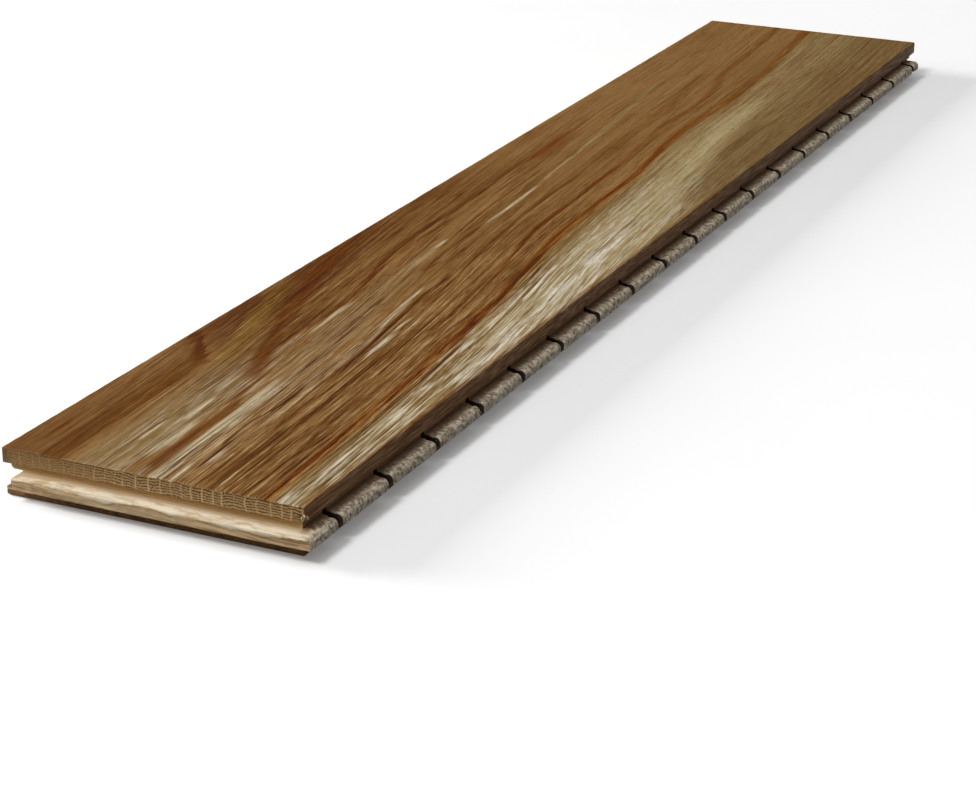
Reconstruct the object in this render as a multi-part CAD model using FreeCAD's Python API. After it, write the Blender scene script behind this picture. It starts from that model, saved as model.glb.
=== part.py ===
import FreeCAD, Part
import os

# Engineered oak floorboard: a thick oak wear layer, a core of slats laid across the board, and a softwood back.
# Frame: millimetres, +Z up, the board lying face up. The origin is the middle of the underside, +Y runs along
# the board and +X across it. The side tongue is at +X, the side groove at -X, the end tongue at -Y and the end
# groove at +Y. The sides are milled after the layers are glued up, so one joint section cuts through all three.

# Face of the board, from oak edge to oak edge
face_length = 750.0
face_width = 130.0
face_bevel = 0.4

# Heights of the layers and of the joint, one on the other from the underside up
back_thickness = 2.5
lower_shoulder = 3.3
tongue_thickness = 4.8
upper_shoulder = 3.1
oak_thickness = 6.3
back_bevel = 0.8

# Core slats, laid across the board with open gaps between them: full slats at about one pitch, and two end slats
slat_pitch = 39.7
slat_gap = 3.0
end_slat_width = 16.2

# Tongue: how far it stands out past the oak edge, and how its nose is rounded
side_tongue_reach = 5.5
end_tongue_reach = 6.0
side_nose_radius = 2.8
end_nose_radius = 1.0
nose_ease = 0.4

# Groove: its room around the tongue, and the lead-in slopes at its mouth
groove_play = 0.3
groove_room = 2.0
upper_lead_run = 1.2
upper_lead_rise = 1.0
lower_lead_run = 2.4
lower_lead_rise = 1.7

# What stands back behind the oak edge, so that the faces of two boards close before their backs do
tongue_shoulder_setback = 1.8
groove_shoulder_setback = 2.5
lip_setback = 0.6

# Heights above the underside
tongue_low = back_thickness + lower_shoulder
tongue_top = tongue_low + tongue_thickness
glue_line = tongue_top + upper_shoulder
face_height = glue_line + oak_thickness
groove_low = tongue_low - groove_play
groove_top = tongue_top + groove_play

# Room past the face that holds every tongue
side_room = side_tongue_reach + lip_setback
end_room = end_tongue_reach + lip_setback


def point(across, height):
    """A point of the joint section, drawn in the XZ plane."""
    return FreeCAD.Vector(across, 0, height)


def groove_outline(reach):
    """The groove side of the joint section, from the underside up to the face, with the oak edge at 0."""
    bottom = reach + groove_room
    shoulder = groove_shoulder_setback
    return [
        point(lip_setback + back_bevel, 0),
        point(lip_setback, back_bevel),
        point(lip_setback, groove_low - lower_lead_rise),
        point(lip_setback + lower_lead_run, groove_low),
        point(bottom, groove_low),
        point(bottom, groove_top),
        point(shoulder + upper_lead_run, groove_top),
        point(shoulder, groove_top + upper_lead_rise),
        point(shoulder, glue_line),
        point(0, glue_line),
        point(0, face_height - face_bevel),
        point(face_bevel, face_height),
    ]


def joint_section(span, reach, nose_radius):
    """The milled section as one face: a groove at 0 and a tongue standing out past the span."""
    nose = span + reach
    lip = span - lip_setback
    shoulder = span - tongue_shoulder_setback
    from_groove = groove_outline(reach)
    over_tongue = [
        point(span - face_bevel, face_height),
        point(span, face_height - face_bevel),
        point(span, glue_line),
        point(shoulder, glue_line),
        point(shoulder, tongue_top),
        point(nose - nose_radius, tongue_top),
    ]
    under_tongue = [
        point(nose, tongue_top - nose_radius),
        point(nose, tongue_low + nose_ease),
        point(nose - nose_ease, tongue_low),
        point(lip, tongue_low),
        point(lip, back_bevel),
        point(lip - back_bevel, 0),
        from_groove[0],
    ]
    cut_back = nose_radius * (1 - 0.5 ** 0.5)
    on_nose = point(nose - cut_back, tongue_top - cut_back)
    edges = Part.makePolygon(from_groove + over_tongue).Edges
    edges.append(Part.Arc(over_tongue[-1], on_nose, under_tongue[0]).toShape())
    edges += Part.makePolygon(under_tongue).Edges
    return Part.Face(Part.Wire(edges))


def milled_board():
    """The whole board as the cutters leave it: what its side section and its end section have in common."""
    side_section = joint_section(face_width, side_tongue_reach, side_nose_radius)
    side_section.translate(FreeCAD.Vector(-face_width / 2, -face_length / 2 - end_room, 0))
    side_milled = side_section.extrude(FreeCAD.Vector(0, face_length + 2 * end_room, 0))

    end_section = joint_section(face_length, end_tongue_reach, end_nose_radius)
    end_section.translate(FreeCAD.Vector(-face_length / 2, -face_width / 2 - side_room, 0))
    end_milled = end_section.extrude(FreeCAD.Vector(0, face_width + 2 * side_room, 0))
    end_milled.rotate(FreeCAD.Vector(0, 0, 0), FreeCAD.Vector(0, 0, 1), -90)
    return side_milled.common(end_milled)


def stretch(board, y_low, y_high, z_low, z_high):
    """The part of the board between two places along it and two heights, across its whole width."""
    width = face_width + 2 * side_room
    corner = FreeCAD.Vector(-width / 2, y_low, z_low)
    return board.common(Part.makeBox(width, y_high - y_low, z_high - z_low, corner))


def full_slat_spans():
    """Where each full slat starts and ends along the board: as many as come nearest to their pitch, evenly spaced."""
    room = face_length - 2 * end_slat_width - slat_gap
    slat_count = round(room / slat_pitch)
    pitch = room / slat_count
    first_start = end_slat_width + slat_gap - face_length / 2
    starts = [first_start + number * pitch for number in range(slat_count)]
    return [(start, start + pitch - slat_gap) for start in starts]


def export(shape, node):
    """Writes one piece, which is one solid, and prints its size."""
    solid = shape.Solids[0]
    solid.exportStep(os.path.join("parts", node + ".step"))
    box = solid.BoundBox
    size = f"{box.XLength:.2f} x {box.YLength:.2f} x {box.ZLength:.2f} mm"
    print(f"{node}: {len(shape.Solids)} solid, {size}, {solid.Volume / 1000:.2f} cm3, valid {solid.isValid()}")


os.makedirs("parts", exist_ok=True)
whole_board = milled_board()
near_end = -face_length / 2 - end_room
far_end = face_length / 2 + end_room
tongue_end_slat_end = end_slat_width - face_length / 2
groove_end_slat_start = face_length / 2 - end_slat_width
export(stretch(whole_board, near_end, far_end, glue_line, face_height), "oak_wear_layer")
export(stretch(whole_board, near_end, tongue_end_slat_end, back_thickness, glue_line), "tongue_end_slat")
for number, (start, end) in enumerate(full_slat_spans(), start=1):
    export(stretch(whole_board, start, end, back_thickness, glue_line), f"core_slat_{number:02d}")
export(stretch(whole_board, groove_end_slat_start, far_end, back_thickness, glue_line), "groove_end_slat")
export(stretch(whole_board, near_end, far_end, 0, back_thickness), "back_layer")
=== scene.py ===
# %% [markdown]
# # A three-layer oak floorboard
#
# This is one length of engineered flooring: a thick oak face, a core of softwood slats laid across it, and a thin
# softwood back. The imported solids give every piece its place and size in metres, with the underside on the floor.
# They could be shown as they are, but a solid has edges sharper than any cutter leaves, so each layer is copied here,
# cut finer and worn, and then given its wood.

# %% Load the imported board
import math
import bmesh
import bpy
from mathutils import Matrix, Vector, noise


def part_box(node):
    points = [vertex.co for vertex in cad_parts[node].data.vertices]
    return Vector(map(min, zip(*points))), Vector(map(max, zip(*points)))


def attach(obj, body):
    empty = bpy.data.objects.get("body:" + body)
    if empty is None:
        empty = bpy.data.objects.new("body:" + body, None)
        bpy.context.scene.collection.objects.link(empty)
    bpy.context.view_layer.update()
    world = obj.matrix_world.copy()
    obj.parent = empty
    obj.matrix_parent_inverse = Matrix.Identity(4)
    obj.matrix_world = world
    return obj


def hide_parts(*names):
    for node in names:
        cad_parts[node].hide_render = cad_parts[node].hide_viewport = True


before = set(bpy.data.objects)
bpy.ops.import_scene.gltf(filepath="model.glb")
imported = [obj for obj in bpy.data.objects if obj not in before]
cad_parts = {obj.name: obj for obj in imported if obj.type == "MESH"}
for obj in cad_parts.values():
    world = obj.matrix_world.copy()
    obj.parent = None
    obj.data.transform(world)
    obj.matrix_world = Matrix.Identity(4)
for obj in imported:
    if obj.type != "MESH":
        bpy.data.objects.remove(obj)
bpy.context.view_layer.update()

MM = 0.001
oak_low, oak_high = (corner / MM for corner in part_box("oak_wear_layer"))
slat_nodes = sorted(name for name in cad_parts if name.startswith("core_slat"))

# %% [markdown]
# ## Camera, floor and light
#
# The picture looks down on the near end of the board through a long lens, from the right. The board could be turned
# to suit a camera, but its frame is fixed, so the camera goes to the place from which its corners line up.

# %% Place the camera
camera = bpy.data.objects.new("camera", bpy.data.cameras.new("camera"))
camera.data.lens = 94.74
camera.data.sensor_width = 36
camera.data.dof.use_dof = False
camera.location = (0.4814, -1.0995, 0.3970)
camera.rotation_euler = (math.radians(90 - 21.79), 0, math.radians(25.4))
bpy.context.collection.objects.link(camera)
bpy.context.scene.camera = camera
bpy.context.scene.view_settings.view_transform = "Standard"
print("camera", round(camera.location.length, 2), "m from the middle of the board")

# %% [markdown]
# Materials are built from nodes. Blender could be told each node, setting and link on a line of its own, but a wood
# takes many of them, so one small function adds a node, sets it, feeds its sockets and gives back what comes out.
# Colours are written as they look on a screen, and one function turns them to the linear values that light needs.
# A third one starts an empty material.

# %% Helpers for materials
def add(tree, kind, feeds=(), **settings):
    """Adds one node, with its settings, and a value or a link for each of its sockets, in order or by name."""
    made = tree.nodes.new("ShaderNode" + kind)
    for name, setting in settings.items():
        setattr(made, name, setting)
    in_use = [socket for socket in made.inputs if socket.enabled]
    for key, feed in feeds.items() if isinstance(feeds, dict) else enumerate(feeds):
        socket = made.inputs[key] if isinstance(key, str) else in_use[key]
        if isinstance(feed, bpy.types.NodeSocket):
            tree.links.new(feed, socket)
        else:
            socket.default_value = feed
    return next((socket for socket in made.outputs if socket.enabled), None)


# A range that eases in and out, and so stops at its ends without a clamp
EASED = {"interpolation_type": "SMOOTHSTEP", "clamp": False}


def paint(code):
    """A colour written as sRGB hex, as the linear colour that a shader takes."""
    levels = [int(code[start:start + 2], 16) / 255 for start in (0, 2, 4)]
    return [level / 12.92 if level <= 0.04045 else ((level + 0.055) / 1.055) ** 2.4 for level in levels] + [1.0]


def new_material(name):
    """An empty material, and the tree that its nodes go into."""
    material = bpy.data.materials.new(name)
    material.use_nodes = True
    material.node_tree.nodes.clear()
    return material, material.node_tree


print("mid grey 808080 is", round(paint("808080")[0], 3), "in linear light")

# %% [markdown]
# A floor carries the board and takes its shadow. A backdrop that curves up behind would do as well, but here nothing
# shows above the floor, so one flat square is enough. It lies a hair below the board, because two surfaces at one
# height would show through each other.

# %% Lay the floor
FLOOR_REACH = 6
FLOOR_DROP = 0.2 * MM
floor_corners = [(-FLOOR_REACH, -FLOOR_REACH, 0), (FLOOR_REACH, -FLOOR_REACH, 0),
                 (FLOOR_REACH, FLOOR_REACH, 0), (-FLOOR_REACH, FLOOR_REACH, 0)]
floor_mesh = bpy.data.meshes.new("floor")
floor_mesh.from_pydata(floor_corners, [], [(0, 1, 2, 3)])
floor = bpy.data.objects.new("floor", floor_mesh)
floor.location.z = -FLOOR_DROP
bpy.context.collection.objects.link(floor)
print("floor", 2 * FLOOR_REACH, "m square")

# %% [markdown]
# Its paint is matt and rolled on, so the eye sees one even white with a faint mottle, about a hand wide. A bright floor
# would throw light up on the sides of the board, which are dark here, so it is white only to the eye and to gloss, and
# a middle grey to the light that it sends on.

# %% Paint the floor
ROLLER_MARKS_PER_METRE = 9.0
FLOOR_GLOW = 0.16
floor_paint, tree = new_material("matt_white_floor_paint")
path = add(tree, "LightPath").node.outputs
seen = add(tree, "Math", (path["Is Camera Ray"], path["Is Glossy Ray"]), operation="MAXIMUM")
seen = add(tree, "Math", (seen, path["Is Transmission Ray"]), operation="MAXIMUM")
place = add(tree, "TexCoord").node.outputs["Object"]
mottle = add(tree, "TexNoise", {"Vector": place, "Scale": ROLLER_MARKS_PER_METRE, "Detail": 2.0})
shade = add(tree, "MapRange", (mottle, 0.0, 1.0, 0.93, 0.97))
tone = add(tree, "Mix", (seen, paint("a0a0a0"), add(tree, "CombineColor", (shade, shade, shade))), data_type="RGBA")
matt = add(tree, "BsdfDiffuse", (tone, 0.3))
glow = add(tree, "Emission", (paint("ffffff"), add(tree, "Math", (seen, FLOOR_GLOW), operation="MULTIPLY")))
add(tree, "OutputMaterial", (add(tree, "AddShader", (matt, glow)),))
floor_mesh.materials.append(floor_paint)
print(len(tree.nodes), "nodes in", floor_paint.name)

# %% [markdown]
# A soft box hangs high to the left and in front of the board. It lights the face and half lights the near end, and on
# the tongue side only the round of the noses catches it. A larger one stands low and far off on the left and draws a
# long, soft shadow out on the right. Lamps without a size would be simpler, but their shadows have hard edges. With the
# ceiling, they light the face at about 1, so that a colour shows as it is written.

# %% Hang the soft boxes
def soft_box(name, place, target, size, watts):
    """A lamp with an even face, at a place in metres and turned to its target."""
    lamp = bpy.data.lights.new(name, "AREA")
    lamp.shape, lamp.size, lamp.size_y, lamp.energy = "RECTANGLE", size[0], size[1], watts
    holder = bpy.data.objects.new(name, lamp)
    holder.location = place
    holder.rotation_euler = (Vector(target) - Vector(place)).to_track_quat("-Z", "Y").to_euler()
    bpy.context.collection.objects.link(holder)
    return holder


key = soft_box("high_soft_box", (-0.75, -2.15, 2.7), target=(0.0, -0.05, 0.0), size=(1.0, 1.0), watts=53)
side = soft_box("low_soft_box", (-3.6, -0.60, 1.15), target=(0.0, 0.0, 0.0), size=(1.5, 1.5), watts=155)
print("soft boxes", round(key.location.length, 2), "and", round(side.location.length, 2), "m away")

# %% [markdown]
# A faint light comes down from the ceiling and fades to dark walls. An even sky would be simpler, but a low look along
# the face would then meet a haze of it.

# %% Light the ceiling
CEILING, WALLS = 0.8, 0.02
sky = bpy.data.worlds.new("ceiling_bounce")
bpy.context.scene.world = sky
sky.use_nodes = True
tree = sky.node_tree
tree.nodes.clear()
upward = add(tree, "SeparateXYZ", (add(tree, "TexCoord"),)).node.outputs["Z"]
upward = add(tree, "Math", (upward, 0.0), operation="MAXIMUM")
upward = add(tree, "Math", (upward, 4.0), operation="POWER")
strength = add(tree, "Math", (upward, CEILING, WALLS), operation="MULTIPLY_ADD")
add(tree, "OutputWorld", (add(tree, "Background", (paint("ffffff"), strength)),))
print("ceiling at", CEILING + WALLS, "and walls at", WALLS)

# %% [markdown]
# ## Oak: the face
#
# The face is oak sawn off the quarter, brushed and oiled. Its figure is a set of long lines that run along the board
# and drift towards the groove side: a dark heart band at the near left, red-brown lines along the middle, and a pale
# sapwood strip on the right. Noise alone would give grain but not this board's own figure, so broad fields and
# leading lines are drawn first, each along a curve set by a few points, and noise then breaks them into fibres.
#
# Each stroke below is: colour, strength, where along the board it begins and ends and how softly, how far it fades
# towards the groove and towards the tongue, and the run of its crest as (mm from the near end, mm from the groove
# edge). The longest runs get a name first, because several strokes follow them.

# %% Runs of the leading lines
HEART_EDGE = ((0, 25), (40, 24.5), (70, 23.5), (105, 22), (115, 18), (128, 9), (140, 2), (160, 0))
FLANK = ((0, 62), (12, 60.3), (40, 59.3), (68, 58.3), (85, 55.5), (100, 53), (110, 48.5), (118, 41), (135, 36.5),
         (150, 31.5), (175, 24), (207, 15), (240, 7.5), (275, 2), (300, 0))
INNER = ((105, 41), (140, 39), (190, 41), (217, 38), (232, 35), (250, 31), (267, 28), (300, 26), (350, 25), (400, 22),
         (450, 23), (500, 16))
THIN = ((60, 79), (120, 77.5), (135, 77), (150, 75.5), (170, 72.8), (198, 70), (215, 68), (250, 66.5), (270, 66),
        (295, 63), (330, 59.5), (375, 57.5), (412, 57), (440, 54), (515, 52), (575, 48), (640, 42), (750, 36))
AMBER = ((200, 89), (245, 84.5), (275, 82), (300, 77), (325, 73), (355, 72), (407, 70), (440, 68.5), (475, 66),
         (515, 62), (555, 63.5), (600, 59.5), (632, 53), (680, 49.5), (750, 44))
RED = ((0, 114), (30, 112.5), (65, 110.6), (90, 109.3), (118, 108), (140, 106.5), (160, 104), (190, 101.8), (208, 99),
       (230, 98.5), (250, 95.5), (275, 92.5), (300, 88.5), (330, 85.5), (375, 83.5), (420, 82.5), (457, 78.5),
       (500, 74.5), (530, 74), (560, 75.5), (620, 73.5), (660, 71), (700, 67), (750, 62))
PALE_EDGE = ((0, 118), (50, 115.5), (100, 113.5), (140, 110), (200, 104), (260, 98.5), (300, 95), (340, 91.5),
             (400, 88), (450, 82.5), (500, 78), (560, 79), (620, 77), (700, 72), (750, 67))
BROWN_EDGE = ((340, 130), (400, 124), (450, 116), (520, 108), (600, 101), (750, 96))
CREAM_BY_FLANK = ((0, 67.5), (40, 65), (85, 62.5), (120, 59))
CREAM_STREAK = ((270, 50), (320, 48), (355, 47.3), (388, 45.2), (440, 40.5), (480, 37.5), (530, 32.5), (590, 26.5))
print("the red line drifts", RED[0][1] - RED[-1][1], "mm towards the groove on its way")

# %% [markdown]
# The fields are the broad changes of tone: the dark heart, the tan between the lines, the sapwood and the brown into
# which it fades. One soft colour ramp across the board could give them, but they drift and end, so each is a stroke.

# %% Broad fields
FIELDS = (
    ("785128", 0.80, (0, 112, 20), (40, 5), ((0, 19), (110, 17))),
    ("8f744a", 0.85, (0, 118, 30), (15, 18), ((0, 42), (60, 41), (110, 38))),
    ("98794f", 0.70, (0, 240, 60), (10, 13), ((0, 69), (100, 63), (160, 54), (230, 47))),
    ("643814", 0.85, (126, 320, 34), (40, 9), ((100, 14), (190, 20), (220, 17), (250, 12), (290, 5), (330, 0))),
    ("744c22", 0.60, (280, 410, 40), (40, 10), ((280, 14), (400, 16))),
    ("88672f", 0.80, (112, 210, 16), (7, 7), ((100, 34), (125, 28), (150, 20), (180, 11), (215, 2))),
    ("927a4e", 0.90, (0, 560, 90), (2.5, 200), PALE_EDGE),
    ("b09c72", 0.80, (160, 430, 60), (8, 40), ((120, 118), (220, 112), (300, 106), (400, 100))),
    ("8c6e44", 0.85, (96, 290, 30), (3, 10.5), ((0, 118), (100, 114), (140, 111.5), (200, 106), (270, 100.5))),
    ("a89264", 0.80, (420, 590, 40), (13, 15), ((380, 106), (430, 102), (470, 96), (520, 92), (580, 92))),
    ("775c34", 0.85, (395, 750, 40), (9, 200), BROWN_EDGE),
    ("8e7449", 0.80, (560, 750, 60), (14, 34), ((500, 96), (560, 90), (650, 80), (750, 76))),
)
print(len(FIELDS), "fields")

# %% [markdown]
# The dark lines are years that the saw cut at a low angle, wide where the cut is lowest. Short ones between them are
# single dark fibres. Some leading lines are given in lengths of their own colour, because oil takes unevenly.

# %% Dark lines
LINES = (
    ("6c4210", 0.92, (0, 108, 6), (12, 1.8), HEART_EDGE),
    ("5a2a00", 1.00, (106, 142, 6), (7, 3), HEART_EDGE),
    ("7f4209", 0.65, (14, 34, 8), (2.4, 2.4), ((0, 10), (40, 9))),
    ("6e3e0c", 1.00, (6, 84, 8), (2.9, 2.8), FLANK),
    ("6f3a07", 0.80, (102, 128, 6), (8, 6), ((90, 48), (110, 46), (130, 41))),
    ("693902", 0.92, (116, 205, 10), (3.6, 7), FLANK),
    ("6a3402", 0.92, (200, 282, 16), (4.5, 6), FLANK),
    ("613607", 0.85, (128, 196, 16), (13, 3), INNER),
    ("5e2a00", 1.00, (195, 330, 18), (3.0, 1.8), INNER),
    ("633807", 0.80, (330, 480, 30), (3.8, 2.0), INNER),
    ("733a05", 0.75, (422, 482, 18), (7, 7), ((400, 24), (450, 24), (500, 21))),
    ("532800", 1.00, (112, 250, 10), (1.9, 1.5), THIN),
    ("653705", 0.90, (262, 420, 14), (2.4, 1.6), THIN),
    ("75470f", 0.60, (420, 640, 40), (5, 5), THIN),
    ("6a3c05", 0.65, (196, 270, 18), (2.8, 1.5), AMBER),
    ("6c3800", 0.95, (262, 440, 16), (2.8, 1.7), AMBER),
    ("714005", 0.75, (440, 750, 30), (3.8, 2.6), AMBER),
    ("8c5416", 0.75, (0, 520, 30), (3.6, 4.6), RED),
    ("622c00", 1.00, (0, 250, 14), (1.9, 1.5), RED),
    ("6e3800", 0.95, (240, 500, 20), (2.3, 1.8), RED),
    ("734004", 0.85, (490, 750, 26), (4.4, 3.8), RED),
    ("5d3303", 0.75, (0, 190, 24), (3.2, 2.8), ((0, 91), (60, 89), (130, 87), (190, 84))),
    ("5f3405", 0.85, (0, 52, 6), (0.9, 0.8), ((0, 71.5), (18, 70.5), (50, 68.3))),
    ("542a00", 0.95, (12, 100, 6), (1.1, 0.9), ((0, 76.5), (30, 76), (45, 73.6), (62, 72.3), (78, 74), (100, 73.2))),
    ("5f3405", 0.75, (8, 36, 5), (0.7, 0.6), ((0, 85.5), (35, 84))),
    ("5f3405", 0.80, (54, 88, 6), (0.8, 0.7), ((50, 85.3), (70, 83.3), (90, 82.3))),
    ("5f3405", 0.85, (118, 176, 8), (0.9, 0.8), ((110, 86.8), (135, 85), (155, 82.8), (180, 81.4))),
    ("542a00", 0.85, (46, 90, 6), (0.9, 0.8), ((40, 90), (60, 89.2), (90, 88.4))),
    ("5f3405", 0.85, (0, 42, 6), (0.8, 0.7), ((0, 96.4), (20, 95.2), (45, 93.7))),
    ("5f3405", 0.75, (12, 58, 6), (0.7, 0.6), ((10, 97.6), (35, 96.8), (60, 95.9))),
    ("593002", 0.85, (0, 62, 6), (0.9, 0.8), ((0, 104.2), (20, 103.5), (40, 102.2), (65, 101))),
    ("5f3a09", 0.75, (64, 100, 6), (0.8, 0.7), ((60, 105.6), (80, 105.8), (105, 104.6))),
    ("542a00", 0.90, (18, 62, 6), (1.0, 0.9), ((10, 110), (25, 108.6), (45, 107.6), (65, 107.4))),
    ("593002", 0.80, (36, 240, 14), (0.9, 0.8), ((0, 117), (35, 116.3), (65, 115), (95, 113.4), (140, 110.5),
                                                (165, 106.6), (190, 104.6), (215, 103.4), (250, 101))),
    ("593002", 0.80, (164, 202, 6), (0.8, 0.7), ((160, 97.8), (180, 96.8), (205, 95.8))),
    ("593002", 0.75, (172, 194, 5), (0.7, 0.7), ((170, 92.3), (195, 91.6))),
    ("633807", 0.85, (6, 32, 6), (1.0, 0.9), ((0, 9), (35, 9))),
    ("593002", 0.80, (0, 60, 12), (1.2, 1.0), ((0, 18), (25, 16.5), (60, 17.5))),
    ("613a0b", 0.75, (20, 46, 4), (0.8, 0.7), ((20, 41.6), (50, 40.8))),
    ("613a0b", 0.75, (78, 130, 6), (0.8, 0.7), ((75, 38.8), (100, 38.2), (130, 38.8))),
    ("5f3003", 0.80, (74, 112, 6), (0.9, 0.8), ((70, 54), (90, 53.3), (112, 52))),
    ("7f4a13", 0.60, (0, 420, 30), (2.2, 3.0), ((0, 129.3), (750, 129.3))),
    ("5a2e00", 0.85, (219, 236, 5), (0.9, 0.8), ((215, 38.8), (240, 36.4))),
    ("5e3200", 0.80, (186, 198, 4), (0.9, 0.8), ((180, 41), (200, 40.2))),
    ("7e4412", 0.70, (244, 258, 6), (2.2, 2.0), ((240, 34), (260, 32.5))),
    ("7e4412", 0.70, (266, 278, 5), (2.2, 2.0), ((260, 31.5), (280, 30.8))),
    ("5a2e00", 0.90, (246, 270, 6), (1.5, 1.3), ((240, 51.8), (270, 50))),
    ("5a2e00", 0.80, (270, 318, 8), (1.4, 1.2), ((265, 49.5), (300, 48.3))),
    ("5e3402", 0.70, (198, 215, 5), (0.9, 0.8), ((195, 48.3), (220, 47.2))),
    ("5a3208", 0.85, (276, 300, 6), (1.0, 0.9), ((270, 17.5), (300, 15.8))),
    ("5a3208", 0.90, (318, 374, 10), (1.2, 1.0), ((310, 26.8), (345, 25.6), (380, 24.2))),
    ("5a3208", 0.80, (282, 326, 10), (1.1, 1.0), ((275, 30.2), (330, 30.6))),
    ("5e3402", 0.80, (320, 376, 10), (1.1, 1.0), ((310, 7), (345, 8), (380, 6.5))),
    ("613807", 0.60, (365, 425, 10), (1.2, 1.0), ((360, 32), (430, 30))),
    ("613807", 0.60, (370, 415, 10), (1.2, 1.0), ((360, 38), (430, 36))),
)
print(len(LINES), "dark lines")

# %% [markdown]
# The cream strokes are early wood that the oil left pale, and rays that the saw laid open. Those on the sapwood are
# listed apart, because they are broken up more.

# %% Cream strokes
CREAMS = (
    ("cdbf9b", 0.98, (0, 96, 14), (3.4, 3.6), CREAM_BY_FLANK),
    ("c6b691", 0.85, (122, 232, 10), (1.3, 1.1), ((110, 75), (145, 72.5), (165, 71), (180, 68.2), (205, 65.2),
                                                 (240, 62))),
    ("d2c5a6", 1.00, (146, 168, 6), (2.0, 1.8), ((130, 79.3), (155, 78.6), (170, 77.2))),
    ("cabb98", 0.90, (172, 188, 5), (1.1, 1.0), ((165, 75.8), (195, 75.2))),
    ("c8b892", 0.85, (326, 386, 10), (1.4, 1.2), CREAM_STREAK),
    ("b29b6c", 0.70, (404, 484, 16), (1.6, 1.4), CREAM_STREAK),
    ("9c8452", 0.60, (440, 590, 40), (2.6, 2.2), CREAM_STREAK),
    ("bba97e", 0.70, (370, 580, 40), (5, 5), ((340, 109), (375, 107), (430, 103), (475, 98), (520, 93), (590, 91))),
    ("c8b896", 0.95, (27, 45, 4), (1.2, 1.0), ((0, 43.4), (60, 42.3))),
    ("cdbe9c", 1.00, (85, 98, 4), (2.2, 2.0), ((60, 44.5), (110, 42))),
    ("d0c2a2", 1.00, (50, 73, 4), (2.0, 1.8), ((30, 49), (80, 46.4))),
    ("c9ba97", 0.95, (18, 52, 7), (2.8, 2.6), ((0, 54.5), (60, 52.8))),
    ("c8b896", 0.90, (0, 18, 4), (1.4, 1.2), ((0, 74), (30, 73))),
    ("d0c2a2", 0.90, (21, 34, 4), (1.1, 1.0), ((0, 78.5), (50, 77.5))),
    ("d4c7aa", 0.90, (0, 9, 3), (2.6, 2.4), ((0, 121), (30, 119))),
    ("d0c2a2", 0.90, (280, 292, 4), (1.1, 1.0), ((270, 43), (300, 42))),
    ("c2b28c", 0.80, (160, 195, 8), (1.9, 1.7), ((150, 45), (200, 43))),
    ("b09468", 0.70, (214, 284, 20), (3.2, 2.8), ((230, 46.2), (260, 44.2), (300, 41))),
    ("c2b28c", 0.85, (182, 196, 5), (1.2, 1.1), ((180, 55.8), (200, 54.8))),
)
SAPWOOD_CREAMS = (
    ("d8ccb2", 0.80, (112, 126, 5), (3.0, 3.0), ((110, 117), (130, 118))),
    ("e2d8c4", 0.95, (132, 206, 8), (3.2, 2.8), ((130, 124.5), (160, 125), (185, 123.5), (206, 121.5))),
    ("d8ccb2", 0.85, (152, 180, 6), (1.3, 1.1), ((150, 112.2), (180, 111))),
    ("e6dcc8", 0.95, (186, 206, 5), (1.6, 1.4), ((180, 118), (210, 116.3))),
    ("e6dcc8", 0.95, (206, 238, 6), (1.6, 1.4), ((200, 121.5), (240, 119.2))),
    ("e2d8c2", 0.95, (230, 262, 7), (1.4, 1.2), ((225, 108.8), (265, 106.3))),
    ("ddd2ba", 0.90, (212, 275, 12), (1.6, 1.4), ((210, 127), (275, 126))),
    ("e8dfcc", 0.95, (240, 330, 16), (4.5, 4.0), ((230, 118), (280, 116.5), (340, 111.5))),
)
print(len(CREAMS), "cream strokes, and", len(SAPWOOD_CREAMS), "on the sapwood")

# %% [markdown]
# ## Oak: the material
#
# The face is brushed with wire and then oiled. It could be unwrapped and painted like a picture, but wood is solid, so
# its pattern is laid out by place in the board instead: x from the groove edge, y from the near end and z from the
# glue line, all in mm. Face, ends and sides then fit each other as in one block.

# %% Start the oak
face_width, face_length = oak_high.x - oak_low.x, oak_high.y - oak_low.y
oak, tree = new_material("brushed_oiled_oak")
place = add(tree, "TexCoord").node.outputs["Object"]
place = add(tree, "VectorMath", (place, oak_low * MM), operation="SUBTRACT")
place = add(tree, "VectorMath", {"Vector": place, "Scale": 1 / MM}, operation="SCALE")
x, y, z = add(tree, "SeparateXYZ", (place,)).node.outputs
share = add(tree, "Math", (y, face_length), operation="DIVIDE")
print("oak face", round(face_width, 1), "by", round(face_length, 1), "mm")

# %% [markdown]
# The grain drifts towards the groove side on its way along the board. A turned pattern would drift evenly, and this
# grain doesn't, so a curve gives the drift at each place, and every pattern is bent by it.

# %% Bend the grain
DRIFT = ((0, 0), (100, 5), (200, 13), (300, 24), (400, 31), (500, 37), (600, 39), (750, 47))


def lay_curve(curve, points, length, width):
    """Sets a curve node's points from (mm along, mm across), as shares of a length and a width."""
    line = curve.node.mapping.curves[0].points
    for point, (along, across) in zip((line[0], line[1]), (points[0], points[-1])):
        point.location = (along / length, across / width)
    for along, across in points[1:-1]:
        line.new(along / length, across / width)
    curve.node.mapping.update()


drift = add(tree, "FloatCurve", {"Value": share})
lay_curve(drift, DRIFT, face_length, face_width)
across = add(tree, "Math", (drift, face_width, x), operation="MULTIPLY_ADD")
grain = add(tree, "CombineXYZ", (across, y, z))
print("the grain drifts", DRIFT[-1][1], "mm on its way")

# %% [markdown]
# Fibres, bands, year lines, flecks and pores are all far longer than they are wide. A wave texture would make them too
# even, so each is a noise drawn out along the grain, with its own width and length in mm. A fibre is a few hundredths
# of a millimetre wide and a pore about a quarter of one. Both are too fine to show from here, so they are drawn
# coarser: fibres as bundles of 0.9 mm, and pores at 0.42 mm.

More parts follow.
